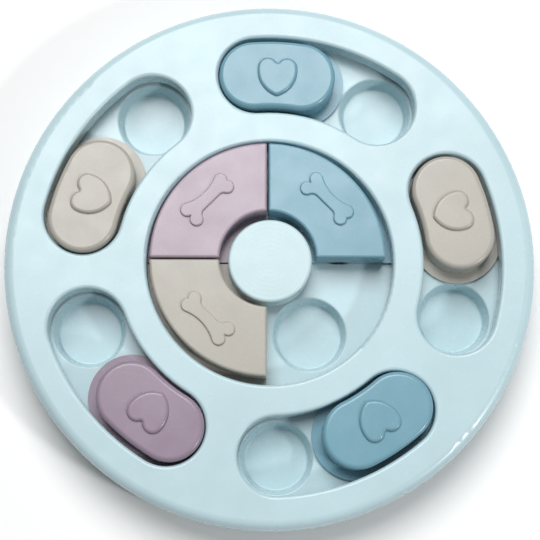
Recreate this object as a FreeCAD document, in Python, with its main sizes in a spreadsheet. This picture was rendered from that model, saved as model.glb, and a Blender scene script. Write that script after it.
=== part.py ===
import FreeCAD, Part
import math
import operator
import os
import Sketcher
from FreeCAD import Placement, Rotation, Vector

# A round treat puzzle for dogs: a cover with five bent slots and a round opening, on a tray of cups.
# Five heart sliders run in the slots and three bone sectors turn round a hub in the opening.
# Millimetres and degrees. +Z is up, the feet stand on zero, and the origin is under the hub.

slot_count = 5
inner_cup_count = 4
sector_count = 3
slack_slider = 5
quarter = 90
zero = Vector(0, 0, 0)
up = Vector(0, 0, 1)

driving_sizes = [
    ("outer_radius", 122.5, "widest radius of the cover"),
    ("cover_top", 30.3, "height of the cover's top face"),
    ("plate_wall", 2.5, "thickness of the cover's plate"),
    ("skirt_wall", 2.5, "thickness of the cover's outer wall"),
    ("rim_rounding", 4.8, "rounding of the cover's outer rim"),
    ("edge_rounding", 1.6, "rounding of the slots and the opening"),
    ("collar_wall", 2.0, "thickness of the collars under the slots and the opening"),
    ("seam_height", 9.0, "height where the cover's skirt meets the tray"),
    ("seam_step", 1.0, "how far the tray's wall stands in from the cover's"),
    ("seam_gap", 0.3, "gap between the cover's skirt and the tray"),
    ("opening_radius", 56.8, "radius of the round opening"),
    ("slot_shift", 0.65, "how far the slots lie inside the middle of their band"),
    ("slot_half_width", 18.0, "half the width of a slot"),
    ("slot_heading", 75.0, "direction of the first slot's middle"),
    ("slot_half_angle", 19.0, "angle from a slot's middle to the centre of its end"),
    ("floor_top", 16.8, "height of the tray's floor"),
    ("floor_wall", 2.0, "thickness of the tray's floor"),
    ("tray_wall", 2.2, "thickness of the tray's outer wall"),
    ("foot_proud", 1.5, "how far the feet stand below the tray"),
    ("tray_rounding", 1.5, "rounding of the tray's lower edge"),
    ("cup_depth", 9.5, "depth of every cup below the floor"),
    ("cup_wall", 1.8, "thickness of the cups"),
    ("cup_rim", 16.8, "radius of an outer cup at the floor"),
    ("cup_base", 14.7, "radius of an outer cup at its bottom"),
    ("cup_rounding", 0.9, "rounding inside the cups' rims and bottoms"),
    ("inner_shift", 1.1, "how far the inner cups lie inside the middle of their band"),
    ("inner_heading", 30.0, "direction of the first inner cup"),
    ("inner_rim", 17.0, "radius of an inner cup at the floor"),
    ("inner_base", 15.2, "radius of an inner cup at its bottom"),
    ("running_gap", 0.3, "gap under the sliders and sectors"),
    ("flange_wall", 2.2, "thickness of the sliders' and sectors' flanges"),
    ("flange_lap", 2.5, "how far a flange reaches under the cover"),
    ("lift_gap", 0.5, "gap between a flange and what holds it down"),
    ("slider_play", 2.0, "gap between a slider and the side of its slot when centred"),
    ("slider_slip", 0.5, "how far the sliders lie in towards the hub"),
    ("slider_slack", 0.6, "angle that the slack slider lies short of its slot's end"),
    ("slider_half_angle", 7.1, "angle from a slider's middle to the centre of its end"),
    ("slider_reach", 0.9, "angle by which a slider's end centre passes the slot's"),
    ("slider_rise", 3.2, "how far the sliders stand above the cover"),
    ("slider_rounding", 2.1, "rounding of a slider's top"),
    ("shell_wall", 1.8, "thickness of the sliders' and sectors' walls"),
    ("heart_lobe", 4.8, "radius of the heart's lobes"),
    ("heart_spread", 4.5, "from the heart's middle line to a lobe's centre"),
    ("heart_side", 13.0, "radius of the heart's sides"),
    ("heart_lift", 2.8, "from the slider's middle out to the lobes' centres"),
    ("heart_drop", 10.8, "from the slider's middle in to the heart's point"),
    ("heart_height", 1.7, "height of the heart"),
    ("heart_rounding", 1.5, "rounding of the heart's upper edge"),
    ("heart_point", 1.6, "rounding of the heart's point"),
    ("heart_notch", 0.8, "rounding of the heart's notch"),
    ("sector_play", 2.6, "gap between a sector and the opening when centred"),
    ("sector_slip", 1.56, "how far the sectors lie towards the far left"),
    ("sector_side", 0.4, "from a sector's side to the quarter line"),
    ("sector_rise", 3.2, "how far the sectors stand above the cover"),
    ("sector_rounding", 1.1, "rounding of a sector's top"),
    ("sector_corner", 0.9, "rounding of a sector's corners"),
    ("hub_play", 3.0, "gap between the hub cap and a sector when centred"),
    ("arch_ring", 33.0, "from the hub to the middle of the arch in a sector's side"),
    ("arch_length", 14.5, "length of the arch in a sector's side"),
    ("arch_height", 3.6, "height of the arch in a sector's side"),
    ("bone_ring", 39.0, "from the hub to the bone's middle"),
    ("bone_reach", 10.4, "from the bone's middle to its knobs' centres"),
    ("bone_knob", 3.2, "radius of the bone's knobs"),
    ("bone_wide_end", 3.1, "half the distance between the knobs at the wide end"),
    ("bone_slim_end", 2.2, "half the distance between the knobs at the slim end"),
    ("bone_flank", 20.5, "radius of the bone's outer flank"),
    ("bone_shaft", 2.4, "from the bone's middle to its straight inner flank"),
    ("bone_bend", 3.0, "radius between the straight flank and the knobs"),
    ("bone_height", 1.2, "height of the bone"),
    ("bone_rounding", 0.7, "rounding of the bone's upper edge"),
    ("hub_radius", 19.2, "radius of the hub cap"),
    ("hub_rise", 3.0, "how far the hub cap stands above the cover"),
    ("hub_wall", 2.2, "thickness of the hub cap"),
    ("hub_rounding", 1.2, "rounding of the hub cap's top"),
    ("hub_lap", 2.6, "how far the hub cap reaches over the sectors' flanges"),
    ("post_wall", 2.2, "thickness of the hub post"),
    ("post_drop", 7.3, "from the hub cap's top down to the post's top"),
    ("boss_radius", 3.3, "radius of the screw bosses under the cover"),
    ("boss_gap", 0.54, "gap between the sectors' flanges and the inner screw bosses"),
    ("cap_boss_radius", 5.0, "radius of the screw boss in the hub cap"),
    ("sleeve_wall", 2.0, "thickness of the tray's screw sleeves"),
    ("sleeve_depth", 6.0, "how far the sleeves reach below the floor"),
    ("seat_wall", 4.0, "thickness of the plastic under a screw's head"),
    ("screw_radius", 1.45, "radius of a screw's shank"),
    ("screw_length", 11.0, "length of a cover screw's shank"),
    ("hub_screw_length", 7.0, "length of the hub screw's shank"),
    ("head_radius", 2.8, "radius of a screw's head"),
    ("head_height", 2.0, "height of a screw's head"),
    ("head_rounding", 0.6, "rounding of a screw's head"),
    ("drive_width", 0.8, "width of the cross in a screw's head"),
    ("drive_length", 3.2, "length of the cross in a screw's head"),
    ("drive_depth", 1.1, "depth of the cross in a screw's head"),
    ("screw_gap", 0.1, "gap round a screw's shank"),
    ("pilot_spare", 1.0, "how far a pilot hole goes past its screw"),
    ("head_gap", 0.4, "gap round a screw's head"),
    ("foot_inset", 16.5, "from the outer radius in to the middle of a foot"),
    ("foot_radius", 6.0, "radius of a foot"),
    ("foot_depth", 1.2, "how far a foot sits in its boss"),
    ("foot_wall", 2.0, "thickness of the boss round a foot"),
    ("foot_gap", 0.2, "gap round a foot"),
    ("foot_rounding", 0.5, "rounding of a foot's lower edge"),
]

operations = {"+": operator.add, "-": operator.sub, "*": operator.mul, "/": operator.truediv}


class Size:
    """A length or an angle, as its number and as the sheet expression that gives it."""

    def __init__(self, number, text):
        self.number = number
        self.text = text

    def __add__(self, other):
        return combined(self, "+", other)

    def __radd__(self, other):
        return combined(other, "+", self)

    def __sub__(self, other):
        return combined(self, "-", other)

    def __rsub__(self, other):
        return combined(other, "-", self)

    def __mul__(self, other):
        return combined(self, "*", other)

    def __rmul__(self, other):
        return combined(other, "*", self)

    def __truediv__(self, other):
        return combined(self, "/", other)

    def __neg__(self):
        return combined(0, "-", self)


def as_size(value):
    return value if isinstance(value, Size) else Size(float(value), "(%r)" % float(value))


def combined(left, sign, right):
    left = as_size(left)
    right = as_size(right)
    number = operations[sign](left.number, right.number)
    return Size(number, "(%s %s %s)" % (left.text, sign, right.text))


def cosine(angle):
    return Size(math.cos(math.radians(angle.number)), "cos(%s)" % angle.text)


def sine(angle):
    return Size(math.sin(math.radians(angle.number)), "sin(%s)" % angle.text)


class Sizes:
    """The sheet's cells by name."""

    def __init__(self, sheet, rows):
        for row, (name, number, note) in enumerate(rows, 1):
            sheet.set("A%d" % row, name)
            sheet.set("B%d" % row, str(number))
            sheet.set("C%d" % row, note)
            sheet.setAlias("B%d" % row, name)
            setattr(self, name, Size(number, "sizes." + name))


doc = FreeCAD.newDocument("treat_puzzle")
sheet = doc.addObject("Spreadsheet::Sheet", "sizes")
size = Sizes(sheet, driving_sizes)
doc.recompute()

# Heights and places that several pieces share
slot_ring = (size.opening_radius + size.outer_radius) / 2 - size.slot_shift
inner_ring = (size.hub_radius + size.opening_radius) / 2 - size.inner_shift
foot_ring = size.outer_radius - size.foot_inset
floor_bottom = size.floor_top - size.floor_wall
plate_bottom = size.cover_top - size.plate_wall
slide_bottom = size.floor_top + size.running_gap
flange_top = slide_bottom + size.flange_wall
collar_bottom = flange_top + size.lift_gap
slot_pitch = 360 / slot_count
land_heading = size.slot_heading + slot_pitch / 2
flange_half_width = size.slot_half_width + size.flange_lap
sector_flange = size.opening_radius + size.flange_lap
slip_side = size.sector_slip * cosine(as_size(quarter / 2))
hub_top = size.cover_top + size.hub_rise
post_top = hub_top - size.post_drop
hub_flange = size.hub_radius - size.hub_lap
post_radius = hub_flange - size.sector_slip - size.lift_gap
inner_land = sector_flange + size.sector_slip + size.boss_gap + size.boss_radius
seat_height = size.floor_top - size.seat_wall
sleeve_radius = size.head_radius + size.head_gap + size.sleeve_wall
pilot_top = seat_height + size.screw_length + size.pilot_spare
cup_bottom = size.floor_top - size.cup_depth


def bind(item, place, value):
    if isinstance(value, Size):
        item.setExpression(place, value.text)


def new_body(label):
    body = doc.addObject("PartDesign::Body", label)
    body.Label = label
    return body


def origin_feature(body, role):
    return next(item for item in body.Origin.OriginFeatures if item.Role == role)


def new_sketch(body, name, level=0, heading=0, plane="XY_Plane"):
    """A sketch on one of the body's own planes, lifted by level and turned by heading."""
    sketch = body.newObject("Sketcher::SketchObject", name)
    sketch.AttachmentSupport = [(origin_feature(body, plane), "")]
    sketch.MapMode = "FlatFace"
    turn = Rotation(up, as_size(heading).number)
    sketch.AttachmentOffset = Placement(Vector(0, 0, as_size(level).number), turn)
    bind(sketch, "AttachmentOffset.Base.z", level)
    bind(sketch, "AttachmentOffset.Rotation.Angle", heading)
    return sketch


def tie(sketch, kind, where, value):
    """A measured constraint whose value comes from the sheet."""
    value = as_size(value)
    number = sketch.addConstraint(Sketcher.Constraint(kind, *where, value.number))
    name = "size_%d" % number
    sketch.renameConstraint(number, name)
    bind(sketch, "Constraints." + name, value)


def hold(sketch, shape, point, x, y):
    """Ties a point of a shape to its place from the sketch's origin."""
    for kind, value, axis in (("DistanceX", x, -2), ("DistanceY", y, -1)):
        if isinstance(value, Size):
            tie(sketch, kind, (shape, point), value)
        else:
            sketch.addConstraint(Sketcher.Constraint("PointOnObject", shape, point, axis))


def join(sketch, kind, first, first_point, second, second_point):
    sketch.addConstraint(Sketcher.Constraint(kind, first, first_point, second, second_point))


def vector(x, y):
    return Vector(as_size(x).number, as_size(y).number, 0)


def add_arc(sketch, x, y, radius, start, end):
    """An arc from start to end in degrees, still free to move."""
    round_line = Part.Circle(vector(x, y), up, as_size(radius).number)
    arc = Part.ArcOfCircle(round_line, math.radians(start), math.radians(end))
    return sketch.addGeometry(arc, False)


def add_circle(sketch, radius, x=0, y=0):
    circle = sketch.addGeometry(Part.Circle(vector(x, y), up, radius.number), False)
    hold(sketch, circle, 3, x, y)
    tie(sketch, "Radius", (circle,), radius)


def add_polygon(sketch, corners):
    points = [vector(x, y) for x, y in corners]
    count = len(points)
    first = sketch.GeometryCount
    for number, point in enumerate(points):
        sketch.addGeometry(Part.LineSegment(point, points[(number + 1) % count]), False)
    for number, (x, y) in enumerate(corners):
        join(sketch, "Coincident", first + number, 1, first + (number - 1) % count, 2)
        hold(sketch, first + number, 1, x, y)


def add_bent_slot(sketch, ring, half_width, half_angle):
    """A slot bent round the origin, with round ends and its middle on the X axis."""
    bend = half_angle.number
    across = ring * cosine(half_angle)
    along = ring * sine(half_angle)
    outer = add_arc(sketch, 0, 0, ring + half_width, -bend, bend)
    inner = add_arc(sketch, 0, 0, ring - half_width, -bend, bend)
    far_end = add_arc(sketch, across, along, half_width, bend, bend + 180)
    near_end = add_arc(sketch, across, -along, half_width, 180 - bend, 360 - bend)
    join(sketch, "Coincident", outer, 3, -1, 1)
    join(sketch, "Coincident", inner, 3, -1, 1)
    join(sketch, "Tangent", outer, 2, far_end, 1)
    join(sketch, "Tangent", far_end, 2, inner, 2)
    join(sketch, "Tangent", inner, 1, near_end, 1)
    join(sketch, "Tangent", near_end, 2, outer, 1)
    hold(sketch, far_end, 3, across, along)
    tie(sketch, "DistanceY", (near_end, 3), -along)
    tie(sketch, "Radius", (far_end,), half_width)


def add_quarter_ring(sketch, inner_radius, outer_radius, side):
    """A quarter of a ring between the X and Y axes, its straight sides set in from them."""
    inner_bend = math.degrees(math.asin(side.number / inner_radius.number))
    outer_bend = math.degrees(math.asin(side.number / outer_radius.number))
    inner_end = math.sqrt(inner_radius.number ** 2 - side.number ** 2)
    outer_end = math.sqrt(outer_radius.number ** 2 - side.number ** 2)
    outer = add_arc(sketch, 0, 0, outer_radius, outer_bend, quarter - outer_bend)
    inner = add_arc(sketch, 0, 0, inner_radius, inner_bend, quarter - inner_bend)
    low = Part.LineSegment(vector(inner_end, side), vector(outer_end, side))
    low = sketch.addGeometry(low, False)
    high = Part.LineSegment(vector(side, inner_end), vector(side, outer_end))
    high = sketch.addGeometry(high, False)
    join(sketch, "Coincident", outer, 3, -1, 1)
    join(sketch, "Coincident", inner, 3, -1, 1)
    join(sketch, "Coincident", low, 2, outer, 1)
    join(sketch, "Coincident", outer, 2, high, 2)
    join(sketch, "Coincident", high, 1, inner, 2)
    join(sketch, "Coincident", inner, 1, low, 1)
    sketch.addConstraint(Sketcher.Constraint("Horizontal", low))
    sketch.addConstraint(Sketcher.Constraint("Vertical", high))
    tie(sketch, "Radius", (outer,), outer_radius)
    tie(sketch, "Radius", (inner,), inner_radius)
    tie(sketch, "DistanceY", (low, 1), side)
    tie(sketch, "DistanceX", (high, 1), side)


def angle_of(point):
    return math.degrees(math.atan2(point.y, point.x))


def add_heart(sketch, ring):
    """A heart with its point towards the origin and its middle line on the Y axis."""
    lobe = size.heart_lobe
    side = size.heart_side
    lobe_height = ring + size.heart_lift
    point_height = ring - size.heart_drop
    lobe_centre = vector(size.heart_spread, lobe_height)
    point = vector(0, point_height)
    # The side's circle passes through the point and touches the lobe from outside it
    axis = lobe_centre - point
    reach = axis.Length
    inside = side.number - lobe.number
    along = (side.number ** 2 - inside ** 2 + reach ** 2) / (2 * reach)
    across = math.sqrt(side.number ** 2 - along ** 2)
    axis.normalize()
    side_centre = point + axis * along + Vector(-axis.y, axis.x, 0) * across
    touch = angle_of(lobe_centre - side_centre)
    end = angle_of(point - side_centre)
    notch = math.degrees(math.acos(-size.heart_spread.number / lobe.number))
    right_lobe = add_arc(sketch, size.heart_spread, lobe_height, lobe, touch, notch)
    left_lobe = add_arc(sketch, -size.heart_spread, lobe_height, lobe, 180 - notch, 180 - touch)
    right_side = add_arc(sketch, side_centre.x, side_centre.y, side, end, touch)
    left_side = add_arc(sketch, -side_centre.x, side_centre.y, side, 180 - touch, 180 - end)
    for shape, sign in ((right_lobe, 1), (left_lobe, -1)):
        hold(sketch, shape, 3, size.heart_spread * sign, lobe_height)
        tie(sketch, "Radius", (shape,), lobe)
    join(sketch, "Coincident", right_lobe, 2, left_lobe, 1)
    join(sketch, "Tangent", right_side, 2, right_lobe, 1)
    join(sketch, "Tangent", left_side, 1, left_lobe, 2)
    join(sketch, "Coincident", right_side, 1, left_side, 2)
    hold(sketch, right_side, 1, 0, point_height)
    for shape in (right_side, left_side):
        tie(sketch, "Radius", (shape,), side)


def add_bone(sketch, ring):
    """A bone across the Y axis, its outer flank hollow and its inner flank straight."""
    knob = size.bone_knob
    bend = size.bone_bend
    flank = size.bone_flank
    ends = ((-size.bone_reach, size.bone_wide_end), (size.bone_reach, size.bone_slim_end))
    shaft_height = ring - size.bone_shaft
    bend_height = shaft_height - bend
    centres = []
    for x, spread in ends:
        for y in (ring + spread, ring - spread):
            centres.append((x, y))
    (far_left, low_left, far_right, low_right) = [vector(x, y) for x, y in centres]
    # The outer flank's circle touches both outer knobs from above
    chord = far_right - far_left
    middle = (far_left + far_right) * 0.5
    rise = math.sqrt((flank.number + knob.number) ** 2 - (chord.Length / 2) ** 2)
    chord.normalize()
    flank_centre = middle + Vector(-chord.y, chord.x, 0) * rise
    bends = []
    for centre, sign in ((low_left, 1), (low_right, -1)):
        drop = centre.y - bend_height.number
        aside = math.sqrt((knob.number + bend.number) ** 2 - drop ** 2)
        bends.append(Vector(centre.x + sign * aside, bend_height.number, 0))
    left_notch = math.degrees(math.acos(size.bone_wide_end.number / knob.number))
    right_notch = math.degrees(math.acos(size.bone_slim_end.number / knob.number))
    left_touch = angle_of(flank_centre - far_left)
    right_touch = angle_of(flank_centre - far_right)
    left_bend = angle_of(bends[0] - low_left)
    right_bend = angle_of(bends[1] - low_right)
    # Knobs in order: outer and inner at the wide end, outer and inner at the slim end
    spans = [
        (left_touch, 270 - left_notch),
        (90 + left_notch, 360 + left_bend),
        (right_notch - 90, right_touch),
        (360 + right_bend, 450 - right_notch),
    ]
    knobs = []
    for (x, y), (start, end) in zip(centres, spans):
        shape = add_arc(sketch, x, y, knob, start, end)
        hold(sketch, shape, 3, x, y)
        tie(sketch, "Radius", (shape,), knob)
        knobs.append(shape)
    hollow = add_arc(sketch, flank_centre.x, flank_centre.y, flank, 180 + left_touch, 180 + right_touch)
    left_hollow = add_arc(sketch, bends[0].x, bends[0].y, bend, 90, 180 + left_bend)
    right_hollow = add_arc(sketch, bends[1].x, bends[1].y, bend, 180 + right_bend, 90)
    shaft = Part.LineSegment(vector(bends[0].x, shaft_height), vector(bends[1].x, shaft_height))
    shaft = sketch.addGeometry(shaft, False)
    join(sketch, "Coincident", knobs[0], 2, knobs[1], 1)
    join(sketch, "Coincident", knobs[3], 2, knobs[2], 1)
    join(sketch, "Tangent", hollow, 1, knobs[0], 1)
    join(sketch, "Tangent", hollow, 2, knobs[2], 2)
    join(sketch, "Tangent", left_hollow, 2, knobs[1], 2)
    join(sketch, "Tangent", left_hollow, 1, shaft, 1)
    join(sketch, "Tangent", right_hollow, 1, knobs[3], 1)
    join(sketch, "Tangent", right_hollow, 2, shaft, 2)
    sketch.addConstraint(Sketcher.Constraint("Horizontal", shaft))
    tie(sketch, "DistanceY", (shaft, 1), shaft_height)
    tie(sketch, "Radius", (hollow,), flank)
    for shape in (left_hollow, right_hollow):
        tie(sketch, "Radius", (shape,), bend)


def add_feature(body, kind, name):
    feature = body.newObject("PartDesign::" + kind, name)
    body.Tip = feature
    return feature


def pad(body, sketch, length, down=False):
    feature = add_feature(body, "Pad", sketch.Name + "_pad")
    feature.Profile = sketch
    feature.Reversed = down
    bind(feature, "Length", length)
    return feature


def pocket(body, sketch, depth, upward=False):
    feature = add_feature(body, "Pocket", sketch.Name + "_cut")
    feature.Profile = sketch
    feature.Reversed = upward
    bind(feature, "Length", depth)
    return feature


def revolve(body, name, corners):
    """A solid turned from a profile of radii and heights round the Z axis."""
    sketch = new_sketch(body, name, plane="XZ_Plane")
    add_polygon(sketch, corners)
    feature = add_feature(body, "Revolution", name + "_turned")
    feature.Profile = sketch
    feature.ReferenceAxis = (sketch, ["V_Axis"])
    feature.Angle = 360
    return feature


def primitive(body, kind, name, sizes, x=0, y=0, z=0, turn=None):
    """A ready-made solid in the body, such as a cone, with its sizes and place from the sheet."""
    feature = add_feature(body, kind, name)
    place = Vector(as_size(x).number, as_size(y).number, as_size(z).number)
    feature.Placement = Placement(place, turn or Rotation())
    for axis, value in (("x", x), ("y", y), ("z", z)):
        bind(feature, "Placement.Base." + axis, value)
    for key, value in sizes.items():
        bind(feature, key, value)
    return feature


def polar_pattern(body, name, originals, count):
    feature = add_feature(body, "PolarPattern", name)
    feature.Originals = originals
    feature.Axis = (origin_feature(body, "Z_Axis"), [""])
    feature.Angle = 360
    feature.Occurrences = count
    body.Tip = feature
    return feature


def round_edges(body, name, radius, wanted):
    """Rounds the edges of the body so far that the test wants."""
    doc.recompute()
    base = body.Tip
    names = ["Edge%d" % number for number, edge in enumerate(base.Shape.Edges, 1) if wanted(edge)]
    feature = add_feature(body, "Fillet", name)
    feature.Base = (base, names)
    bind(feature, "Radius", radius)
    return feature


def level_at(edge, height):
    box = edge.BoundBox
    return abs(box.ZMin - height.number) < 0.01 and abs(box.ZMax - height.number) < 0.01


def reaches_up_to(edge, height):
    box = edge.BoundBox
    return box.ZLength > 1 and abs(box.ZMax - height.number) < 0.01


def is_circle(edge, radius):
    curve = edge.Curve
    return isinstance(curve, Part.Circle) and abs(curve.Radius - radius.number) < 0.01


def upright_at(edge, x, y):
    """Whether an edge runs straight up through a place seen from above."""
    box = edge.BoundBox
    slim = box.XLength < 0.01 and box.YLength < 0.01
    return slim and math.hypot(box.Center.x - x, box.Center.y - y) < 0.1


def polar(ring, heading):
    return ring * cosine(heading), ring * sine(heading)


def make_cover():
    """The cover: a plate with a skirt, collars that steer the moving pieces, and screw bosses."""
    body = new_body("top_cover")
    skirt_inside = size.outer_radius - size.skirt_wall
    skirt_bottom = size.seam_height + size.seam_gap
    collar_outside = size.opening_radius + size.collar_wall
    revolve(body, "cover_profile", [
        (size.opening_radius, size.cover_top),
        (size.outer_radius, size.cover_top),
        (size.outer_radius, skirt_bottom),
        (skirt_inside, skirt_bottom),
        (skirt_inside, plate_bottom),
        (collar_outside, plate_bottom),
        (collar_outside, collar_bottom),
        (size.opening_radius, collar_bottom),
    ])
    collar = new_sketch(body, "slot_collar", plate_bottom, size.slot_heading)
    collar_half_width = size.slot_half_width + size.collar_wall
    add_bent_slot(collar, slot_ring, collar_half_width, size.slot_half_angle)
    collar = pad(body, collar, plate_bottom - collar_bottom, down=True)
    polar_pattern(body, "slot_collars", [collar], slot_count)
    slot = new_sketch(body, "slot", size.cover_top, size.slot_heading)
    add_bent_slot(slot, slot_ring, size.slot_half_width, size.slot_half_angle)
    slot = pocket(body, slot, size.cover_top - collar_bottom)
    polar_pattern(body, "slots", [slot], slot_count)
    boss = new_sketch(body, "screw_boss", plate_bottom, land_heading)
    pilot = new_sketch(body, "screw_pilot", size.floor_top, land_heading)
    for ring in (slot_ring, inner_land):
        add_circle(boss, size.boss_radius, ring)
        add_circle(pilot, size.screw_radius + size.screw_gap, ring)
    boss = pad(body, boss, plate_bottom - size.floor_top, down=True)
    polar_pattern(body, "screw_bosses", [boss], slot_count)
    pilot = pocket(body, pilot, pilot_top - size.floor_top, upward=True)
    polar_pattern(body, "screw_pilots", [pilot], slot_count)
    rim = size.outer_radius
    inside_rounding = size.rim_rounding - size.skirt_wall
    round_edges(body, "rim", size.rim_rounding,
                lambda edge: level_at(edge, size.cover_top) and is_circle(edge, rim))
    round_edges(body, "rim_inside", inside_rounding,
                lambda edge: level_at(edge, plate_bottom) and is_circle(edge, skirt_inside))
    flat_rim = size.outer_radius - size.rim_rounding
    round_edges(body, "soft_edges", size.edge_rounding,
                lambda edge: level_at(edge, size.cover_top) and not is_circle(edge, flat_rim))
    return body


cup_sets = (
    ("outer_cups", [
        polar(slot_ring, size.slot_heading - size.slot_half_angle),
        polar(slot_ring, size.slot_heading + size.slot_half_angle),
    ], slot_count, size.cup_rim, size.cup_base),
    ("inner_cups", [polar(inner_ring, size.inner_heading)], inner_cup_count, size.inner_rim, size.inner_base),
)


def cup_cone(body, kind, name, place, rim, base, wall=0, top=size.floor_top):
    """A cup's inner or outer face as a cone, from its bottom up to a height."""
    start = cup_bottom - wall
    slope = (rim - base) / size.cup_depth
    top_radius = base + wall + slope * (top - cup_bottom)
    sizes = {"Radius1": base + wall, "Radius2": top_radius, "Height": top - start}
    return primitive(body, kind + "Cone", name, sizes, place[0], place[1], start)


def make_cups(label, places, count, rim, base):
    """Cups on one ring, hanging face to face from the floor's underside."""
    body = new_body(label)
    body.AllowCompound = True
    for kind, wall in (("Additive", size.cup_wall), ("Subtractive", 0)):
        cones = []
        for number, place in enumerate(places):
            name = "%s_%s_%d" % (label, kind, number)
            cones.append(cup_cone(body, kind, name, place, rim, base, wall, floor_bottom))
        polar_pattern(body, "%s_%s_ring" % (label, kind), cones, count)
    round_edges(body, label + "_bottoms", size.cup_rounding,
                lambda edge: level_at(edge, cup_bottom) and is_circle(edge, base))
    return body


def make_tray():
    """The tray: a floor open over every cup, hub post, outer wall, screw sleeves and foot bosses."""
    body = new_body("base_tray")
    lip = size.outer_radius - size.skirt_wall - size.seam_gap
    wall_outside = size.outer_radius - size.seam_step
    wall_inside = wall_outside - size.tray_wall
    post_inside = post_radius - size.post_wall
    post_ceiling = post_top - size.post_wall
    revolve(body, "tray_profile", [
        (0, post_top),
        (post_radius, post_top),
        (post_radius, size.floor_top),
        (lip, size.floor_top),
        (lip, size.seam_height),
        (wall_outside, size.seam_height),
        (wall_outside, size.foot_proud),
        (wall_inside, size.foot_proud),
        (wall_inside, floor_bottom),
        (post_inside, floor_bottom),
        (post_inside, post_ceiling),
        (0, post_ceiling),
    ])
    for label, places, count, rim, base in cup_sets:
        mouths = [cup_cone(body, "Subtractive", "%s_mouth_%d" % (label, number), place, rim, base)
                  for number, place in enumerate(places)]
        polar_pattern(body, label + "_mouths", mouths, count)
    rims = [rim for label, places, count, rim, base in cup_sets]
    round_edges(body, "cup_rims", size.cup_rounding,
                lambda edge: level_at(edge, size.floor_top) and any(is_circle(edge, rim) for rim in rims))
    sleeve = new_sketch(body, "screw_sleeve", floor_bottom, land_heading)
    bore = new_sketch(body, "head_bore", floor_bottom - size.sleeve_depth, land_heading)
    hole = new_sketch(body, "screw_hole", size.floor_top, land_heading)
    for ring in (slot_ring, inner_land):
        add_circle(sleeve, sleeve_radius, ring)
        add_circle(bore, size.head_radius + size.head_gap, ring)
        add_circle(hole, size.screw_radius + size.screw_gap, ring)
    sleeve = pad(body, sleeve, size.sleeve_depth, down=True)
    polar_pattern(body, "screw_sleeves", [sleeve], slot_count)
    bore = pocket(body, bore, seat_height - floor_bottom + size.sleeve_depth, upward=True)
    polar_pattern(body, "head_bores", [bore], slot_count)
    hole = pocket(body, hole, size.seat_wall)
    polar_pattern(body, "screw_holes", [hole], slot_count)
    hub_hole = new_sketch(body, "hub_hole", post_top)
    add_circle(hub_hole, size.screw_radius + size.screw_gap)
    pocket(body, hub_hole, size.post_wall)
    boss = new_sketch(body, "foot_boss", floor_bottom, land_heading)
    add_circle(boss, size.foot_radius + size.foot_gap + size.foot_wall, foot_ring)
    boss = pad(body, boss, floor_bottom - size.foot_proud, down=True)
    polar_pattern(body, "foot_bosses", [boss], slot_count)
    recess = new_sketch(body, "foot_recess", size.foot_proud, land_heading)
    add_circle(recess, size.foot_radius + size.foot_gap, foot_ring)
    recess = pocket(body, recess, size.foot_depth, upward=True)
    polar_pattern(body, "foot_recesses", [recess], slot_count)
    round_edges(body, "lower_edge", size.tray_rounding,
                lambda edge: level_at(edge, size.foot_proud) and is_circle(edge, wall_outside))
    return body


def make_hub_cap():
    """The hub cap: a round cap whose skirt holds the sectors down, with a boss on the post."""
    body = new_body("hub_cap")
    skirt_inside = size.hub_radius - size.hub_wall
    ceiling = hub_top - size.hub_wall
    pilot = size.screw_radius + size.screw_gap
    pilot_ceiling = post_top - size.post_wall + size.hub_screw_length + size.pilot_spare
    boss = size.cap_boss_radius
    revolve(body, "cap_profile", [
        (0, hub_top),
        (size.hub_radius, hub_top),
        (size.hub_radius, collar_bottom),
        (skirt_inside, collar_bottom),
        (skirt_inside, ceiling),
        (boss, ceiling),
        (boss, post_top),
        (pilot, post_top),
        (pilot, pilot_ceiling),
        (0, pilot_ceiling),
    ])
    round_edges(body, "cap_edge", size.hub_rounding,
                lambda edge: level_at(edge, hub_top) and is_circle(edge, size.hub_radius))
    return body


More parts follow.
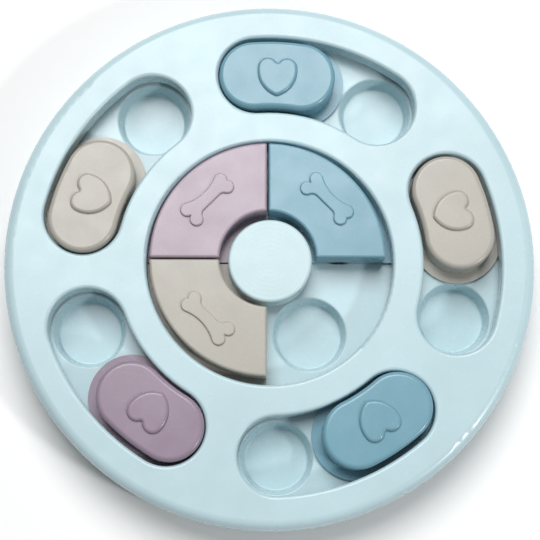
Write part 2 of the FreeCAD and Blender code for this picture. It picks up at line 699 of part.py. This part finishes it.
def make_slider(number):
    """A heart slider: a hollow cap with a flange at its foot and a raised heart on top."""
    body = new_body("heart_slider_%d" % number)
    top = size.cover_top + size.slider_rise
    half_width = size.slot_half_width - size.slider_play
    flange = new_sketch(body, "slider_flange_%d" % number, slide_bottom)
    add_bent_slot(flange, slot_ring, flange_half_width, size.slider_half_angle)
    pad(body, flange, size.flange_wall)
    cap = new_sketch(body, "slider_cap_%d" % number, slide_bottom)
    add_bent_slot(cap, slot_ring, half_width, size.slider_half_angle)
    pad(body, cap, top - slide_bottom)
    round_edges(body, "slider_edge_%d" % number, size.slider_rounding,
                lambda edge: level_at(edge, top))
    hollow = new_sketch(body, "slider_hollow_%d" % number, slide_bottom)
    add_bent_slot(hollow, slot_ring, half_width - size.shell_wall, size.slider_half_angle)
    pocket(body, hollow, top - slide_bottom - size.shell_wall, upward=True)
    heart = new_sketch(body, "heart_%d" % number, top, -quarter)
    add_heart(heart, slot_ring)
    pad(body, heart, size.heart_height)
    point = (slot_ring - size.heart_drop).number
    round_edges(body, "heart_point_%d" % number, size.heart_point,
                lambda edge: upright_at(edge, point, 0))
    notch_rise = math.sqrt(size.heart_lobe.number ** 2 - size.heart_spread.number ** 2)
    notch = (slot_ring + size.heart_lift).number + notch_rise
    round_edges(body, "heart_notch_%d" % number, size.heart_notch,
                lambda edge: upright_at(edge, notch, 0))
    round_edges(body, "heart_edge_%d" % number, size.heart_rounding,
                lambda edge: level_at(edge, top + size.heart_height))
    turn = size.slot_heading + size.slot_half_angle + size.slider_reach - size.slider_half_angle
    turn = turn + slot_pitch * (number - 1)
    if number == slack_slider:
        turn = turn - size.slider_slack
    if turn.number > 180:
        turn = turn - 360
    x, y = polar(-size.slider_slip, turn)
    body.Placement = Placement(vector(x, y), Rotation(up, turn.number))
    bind(body, "Placement.Base.x", x)
    bind(body, "Placement.Base.y", y)
    bind(body, "Placement.Rotation.Angle", turn)
    return body


def make_sector(number):
    """A bone sector: a hollow quarter ring with flanges, arches in its sides and a raised bone."""
    body = new_body("bone_sector_%d" % number)
    top = size.cover_top + size.sector_rise
    outside = size.opening_radius - size.sector_play
    inside = size.hub_radius + size.hub_play
    flange = new_sketch(body, "sector_flange_%d" % number, slide_bottom)
    add_quarter_ring(flange, hub_flange, sector_flange, size.sector_side)
    pad(body, flange, size.flange_wall)
    cap = new_sketch(body, "sector_cap_%d" % number, slide_bottom)
    add_quarter_ring(cap, inside, outside, size.sector_side)
    pad(body, cap, top - slide_bottom)
    round_edges(body, "sector_corner_%d" % number, size.sector_corner,
                lambda edge: reaches_up_to(edge, top))
    round_edges(body, "sector_edge_%d" % number, size.sector_rounding,
                lambda edge: level_at(edge, top))
    hollow = new_sketch(body, "sector_hollow_%d" % number, slide_bottom)
    wall = size.shell_wall
    add_quarter_ring(hollow, inside + wall, outside - wall, size.sector_side + wall)
    pocket(body, hollow, top - slide_bottom - wall, upward=True)
    # The arch is a shallow bite of a lying cylinder out of each straight wall's foot
    arch_radius = size.arch_length * size.arch_length / (size.arch_height * 8) + size.arch_height / 2
    sizes = {"Radius": arch_radius, "Height": size.sector_side + wall + wall / 2}
    drop = slide_bottom + size.arch_height - arch_radius
    ring = size.arch_ring
    along_y = Rotation(Vector(1, 0, 0), -quarter)
    along_x = Rotation(Vector(0, 1, 0), quarter)
    primitive(body, "SubtractiveCylinder", "low_arch_%d" % number, sizes, ring, 0, drop, along_y)
    primitive(body, "SubtractiveCylinder", "high_arch_%d" % number, sizes, 0, ring, drop, along_x)
    bone = new_sketch(body, "bone_%d" % number, top, -quarter / 2)
    add_bone(bone, size.bone_ring)
    pad(body, bone, size.bone_height)
    round_edges(body, "bone_edge_%d" % number, size.bone_rounding,
                lambda edge: level_at(edge, top + size.bone_height))
    # All three sectors lie slid the same way within their play, towards the far left
    body.Placement = Placement(vector(-slip_side, slip_side), Rotation(up, quarter * (number - 1)))
    bind(body, "Placement.Base.x", -slip_side)
    bind(body, "Placement.Base.y", slip_side)
    return body


def make_foot(number):
    """A rubber foot pressed into its boss."""
    body = new_body("foot_%d" % number)
    place = new_sketch(body, "foot_outline_%d" % number)
    add_circle(place, size.foot_radius, foot_ring)
    pad(body, place, size.foot_proud + size.foot_depth)
    round_edges(body, "foot_edge_%d" % number, size.foot_rounding,
                lambda edge: edge.BoundBox.ZMax < 0.01)
    turn = land_heading + slot_pitch * (number - 1)
    if turn.number > 180:
        turn = turn - 360
    body.Placement = Placement(zero, Rotation(up, turn.number))
    bind(body, "Placement.Rotation.Angle", turn)
    return body


def make_screws(label, ring, heading, seat, length, count=1):
    """Pan-head screws with crosses in their heads, pointing up from their seats, as one group."""
    body = new_body(label)
    body.AllowCompound = True
    head_bottom = seat - size.head_height
    shank = new_sketch(body, label + "_shank", seat, heading)
    add_circle(shank, size.screw_radius, ring)
    shank = pad(body, shank, length)
    head = new_sketch(body, label + "_head", seat, heading)
    add_circle(head, size.head_radius, ring)
    head = pad(body, head, size.head_height, down=True)
    cross = new_sketch(body, label + "_cross", head_bottom, heading)
    slim = size.drive_width / 2
    long = size.drive_length / 2
    add_polygon(cross, [
        (ring + long, slim), (ring + slim, slim), (ring + slim, long), (ring - slim, long),
        (ring - slim, slim), (ring - long, slim), (ring - long, -slim), (ring - slim, -slim),
        (ring - slim, -long), (ring + slim, -long), (ring + slim, -slim), (ring + long, -slim),
    ])
    cross = pocket(body, cross, size.drive_depth, upward=True)
    if count > 1:
        polar_pattern(body, label + "_ring", [shank, head, cross], count)
    round_edges(body, label + "_edge", size.head_rounding,
                lambda edge: level_at(edge, head_bottom) and is_circle(edge, size.head_radius))
    return body


pieces = [make_cover(), make_tray(), make_hub_cap()]
pieces += [make_cups(*cups) for cups in cup_sets]
pieces += [make_slider(number) for number in range(1, slot_count + 1)]
pieces += [make_sector(number) for number in range(1, sector_count + 1)]
pieces += [make_foot(number) for number in range(1, slot_count + 1)]
for label, ring in (("outer_cover_screws", slot_ring), ("inner_cover_screws", inner_land)):
    pieces.append(make_screws(label, ring, land_heading, seat_height, size.screw_length, slot_count))
pieces.append(make_screws("hub_screw", 0, 0, post_top - size.post_wall, size.hub_screw_length))
doc.recompute()

for item in doc.Objects:
    if "Invalid" in item.State or "Error" in item.State:
        raise SystemExit("%s failed: %s" % (item.Name, item.State))
os.makedirs("parts", exist_ok=True)
for piece in pieces:
    if piece.Shape.isNull() or not piece.Shape.isValid():
        raise SystemExit("%s has no valid shape" % piece.Label)
for piece in pieces:
    piece.Shape.exportStep("parts/%s.step" % piece.Label)
    print("%s: %.0f mm3, %d solid(s)" % (piece.Label, piece.Shape.Volume, len(piece.Shape.Solids)))
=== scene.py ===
import math
import bmesh
import bpy
from mathutils import Matrix, Vector


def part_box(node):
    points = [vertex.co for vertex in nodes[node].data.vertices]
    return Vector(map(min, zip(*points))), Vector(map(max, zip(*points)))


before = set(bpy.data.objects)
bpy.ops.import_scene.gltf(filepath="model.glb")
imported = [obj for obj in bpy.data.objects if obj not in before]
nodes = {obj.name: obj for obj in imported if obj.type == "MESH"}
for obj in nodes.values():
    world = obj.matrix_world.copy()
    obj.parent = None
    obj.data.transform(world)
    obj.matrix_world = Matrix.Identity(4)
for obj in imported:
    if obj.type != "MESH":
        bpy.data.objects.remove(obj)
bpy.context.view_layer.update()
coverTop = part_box("top_cover")[1][2]

# Camera: the toy lies flat and is seen from almost straight above, a little from the near left
cameraSetup = {
    "tilt": 9.66,            # degrees from straight down
    "turn": -5.6,            # degrees round the toy, clockwise from the near side
    "distance": 0.8028,
    "aim": (0.00006, -0.00316),
    "aimDrop": 0.0040,       # the aim lies this far under the cover's top
    "focalPixels": 1738.4,
    "framePixels": 540,
    "sensor": 36.0,
}


def makeCamera(setup):
    tilt = math.radians(setup["tilt"])
    turn = math.radians(setup["turn"])
    back = Vector((math.sin(tilt) * math.sin(turn), -math.sin(tilt) * math.cos(turn), math.cos(tilt)))
    aim = Vector((*setup["aim"], coverTop - setup["aimDrop"]))
    data = bpy.data.cameras.new("photoCamera")
    data.sensor_width = setup["sensor"]
    data.lens = setup["sensor"] * setup["focalPixels"] / setup["framePixels"]
    right = Vector((0, 1, 0)).cross(back).normalized()
    camera = bpy.data.objects.new("photoCamera", data)
    camera.location = aim + back * setup["distance"]
    camera.rotation_euler = Matrix((right, back.cross(right), back)).transposed().to_euler()
    bpy.context.scene.collection.objects.link(camera)
    bpy.context.scene.camera = camera
    return camera


makeCamera(cameraSetup)
print("camera ready")

# Moulded plastic: faint flow marks in the colour, a fine satin grain, softly uneven gloss
plasticSetup = {
    "bodyBlue": {"color": (0.490, 0.655, 0.700), "roughness": 0.26, "flow": 0.035, "grain": 0.020},
    "hubBlue": {"color": (0.515, 0.675, 0.705), "roughness": 0.27, "flow": 0.030, "grain": 0.015,
                "rings": 0.03},
    "steelBlue": {"color": (0.170, 0.350, 0.435), "roughness": 0.25, "flow": 0.045, "grain": 0.025},
    "beige": {"color": (0.425, 0.405, 0.360), "roughness": 0.27, "flow": 0.040, "grain": 0.025},
    "mauve": {"color": (0.300, 0.230, 0.298), "roughness": 0.25, "flow": 0.045, "grain": 0.025},
    "paleMauve": {"color": (0.410, 0.333, 0.398), "roughness": 0.27, "flow": 0.040, "grain": 0.025},
}
plasticTexture = {
    "flow": (26, 4),         # scale and detail of each noise
    "gloss": (90, 3),
    "grain": (1800, 2),
    "glossBelow": 0.05,      # how far the roughness strays
    "glossAbove": 0.06,
    "grainDepth": 0.0004,
    "ringScale": 150,
    "ringDistortion": 0.4,
    "ringDepth": 0.0002,
    "ior": 1.49,
}
rubberSetup = {
    "noise": (900, 3),
    "dark": (0.050, 0.055, 0.060),
    "light": (0.075, 0.080, 0.085),
    "roughness": (0.70, 0.85),
}
steelSetup = {
    "noise": (1500, 4),
    "dark": (0.42, 0.43, 0.44),
    "light": (0.62, 0.63, 0.64),
    "roughness": (0.25, 0.45),
}


def newMaterial(name):
    material = bpy.data.materials.new(name)
    material.use_nodes = True
    tree = material.node_tree
    tree.nodes.clear()
    output = tree.nodes.new("ShaderNodeOutputMaterial")
    shader = tree.nodes.new("ShaderNodeBsdfPrincipled")
    tree.links.new(shader.outputs["BSDF"], output.inputs["Surface"])
    return material, tree, shader


def addNoise(tree, place, scale, detail):
    noise = tree.nodes.new("ShaderNodeTexNoise")
    noise.inputs["Scale"].default_value = scale
    noise.inputs["Detail"].default_value = detail
    tree.links.new(place, noise.inputs["Vector"])
    return noise.outputs["Fac"]


def addRange(tree, value, low, high, fromLow=0.3, fromHigh=0.7):
    reach = tree.nodes.new("ShaderNodeMapRange")
    reach.inputs["From Min"].default_value = fromLow
    reach.inputs["From Max"].default_value = fromHigh
    reach.inputs["To Min"].default_value = low
    reach.inputs["To Max"].default_value = high
    tree.links.new(value, reach.inputs["Value"])
    return reach.outputs["Result"]


def addColorMix(tree, factor, first, second):
    mix = tree.nodes.new("ShaderNodeMix")
    mix.data_type = "RGBA"
    mix.inputs[6].default_value = (*first, 1)
    mix.inputs[7].default_value = (*second, 1)
    tree.links.new(factor, mix.inputs[0])
    return mix.outputs[2]


def addBump(tree, height, strength, distance, under=None):
    bump = tree.nodes.new("ShaderNodeBump")
    bump.inputs["Strength"].default_value = strength
    bump.inputs["Distance"].default_value = distance
    tree.links.new(height, bump.inputs["Height"])
    if under:
        tree.links.new(under, bump.inputs["Normal"])
    return bump.outputs["Normal"]


def addRings(tree, place):
    wave = tree.nodes.new("ShaderNodeTexWave")
    wave.wave_type = "RINGS"
    wave.rings_direction = "Z"
    wave.inputs["Scale"].default_value = plasticTexture["ringScale"]
    wave.inputs["Distortion"].default_value = plasticTexture["ringDistortion"]
    tree.links.new(place, wave.inputs["Vector"])
    return wave.outputs["Fac"]


def makePlastic(name, setup):
    material, tree, shader = newMaterial(name)
    place = tree.nodes.new("ShaderNodeTexCoord").outputs["Object"]
    texture = plasticTexture
    flow = addRange(tree, addNoise(tree, place, *texture["flow"]), 0, 1)
    light = [min(1, part * (1 + setup["flow"])) for part in setup["color"]]
    dark = [part * (1 - setup["flow"]) for part in setup["color"]]
    tree.links.new(addColorMix(tree, flow, dark, light), shader.inputs["Base Color"])
    gloss = addNoise(tree, place, *texture["gloss"])
    low = setup["roughness"] - texture["glossBelow"]
    high = setup["roughness"] + texture["glossAbove"]
    tree.links.new(addRange(tree, gloss, low, high), shader.inputs["Roughness"])
    grain = addNoise(tree, place, *texture["grain"])
    normal = addBump(tree, grain, setup["grain"], texture["grainDepth"])
    if "rings" in setup:
        normal = addBump(tree, addRings(tree, place), setup["rings"], texture["ringDepth"], normal)
    tree.links.new(normal, shader.inputs["Normal"])
    shader.inputs["IOR"].default_value = texture["ior"]
    return material


plastics = {name: makePlastic(name, setup) for name, setup in plasticSetup.items()}
print("plastics ready")


def makeRubber(setup):
    material, tree, shader = newMaterial("footRubber")
    place = tree.nodes.new("ShaderNodeTexCoord").outputs["Object"]
    speckle = addRange(tree, addNoise(tree, place, *setup["noise"]), 0, 1)
    tree.links.new(addColorMix(tree, speckle, setup["dark"], setup["light"]), shader.inputs["Base Color"])
    tree.links.new(addRange(tree, speckle, *setup["roughness"], 0, 1), shader.inputs["Roughness"])
    return material


def makeSteel(setup):
    material, tree, shader = newMaterial("screwSteel")
    place = tree.nodes.new("ShaderNodeTexCoord").outputs["Object"]
    brushed = addNoise(tree, place, *setup["noise"])
    tree.links.new(addColorMix(tree, brushed, setup["dark"], setup["light"]), shader.inputs["Base Color"])
    tree.links.new(addRange(tree, brushed, *setup["roughness"]), shader.inputs["Roughness"])
    shader.inputs["Metallic"].default_value = 1
    return material


# Which finish each kind of node gets, by the start of its name
heartFinishes = ["steelBlue", "beige", "mauve", "steelBlue", "beige"]
sectorFinishes = ["steelBlue", "paleMauve", "beige"]
rubber = makeRubber(rubberSetup)
steel = makeSteel(steelSetup)


def finishOf(name):
    if name.startswith("heart_slider_"):
        return plastics[heartFinishes[int(name[-1]) - 1]]
    if name.startswith("bone_sector_"):
        return plastics[sectorFinishes[int(name[-1]) - 1]]
    if name == "hub_cap":
        return plastics["hubBlue"]
    if name.startswith("foot_"):
        return rubber
    if name.endswith(("screw", "screws")):
        return steel
    return plastics["bodyBlue"]


for name, node in nodes.items():
    node.data.materials.clear()
    node.data.materials.append(finishOf(name))
print("finishes on", len(nodes), "nodes")

# Floor and lights
floorSetup = {"half": 2.0, "color": (0.95, 0.95, 0.95), "roughness": 0.9}


def makeFloor(setup):
    mesh = bpy.data.meshes.new("floor")
    shape = bmesh.new()
    bmesh.ops.create_grid(shape, x_segments=1, y_segments=1, size=setup["half"])
    shape.to_mesh(mesh)
    shape.free()
    floor = bpy.data.objects.new("floor", mesh)
    bpy.context.scene.collection.objects.link(floor)
    material, tree, shader = newMaterial("floorPaper")
    shader.inputs["Base Color"].default_value = (*setup["color"], 1)
    shader.inputs["Roughness"].default_value = setup["roughness"]
    mesh.materials.append(material)


def addLight(name, place, aim, size, power):
    data = bpy.data.lights.new(name, "AREA")
    data.shape = "DISK"
    data.size = size
    data.energy = power
    light = bpy.data.objects.new(name, data)
    light.location = place
    light.rotation_euler = (Vector(place) - Vector(aim)).to_track_quat("Z", "Y").to_euler()
    bpy.context.scene.collection.objects.link(light)


# The big softbox hangs beyond the far side, so its gloss lies on the far half of the cover
lightSetup = [
    {"name": "farSoftbox", "place": (-0.15, 1.00, 2.00), "size": 1.60, "power": 46},
    {"name": "nearKey", "place": (0.95, -0.62, 0.95), "size": 0.16, "power": 6.0},
]
worldStrength = 0.18

makeFloor(floorSetup)
for setup in lightSetup:
    addLight(setup["name"], setup["place"], (0, 0, 0), setup["size"], setup["power"])
world = bpy.data.worlds.new("studio")
world.use_nodes = True
background = world.node_tree.nodes["Background"]
background.inputs["Color"].default_value = (1, 1, 1, 1)
background.inputs["Strength"].default_value = worldStrength
bpy.context.scene.world = world
bpy.context.scene.view_settings.view_transform = "Standard"
print("studio ready")
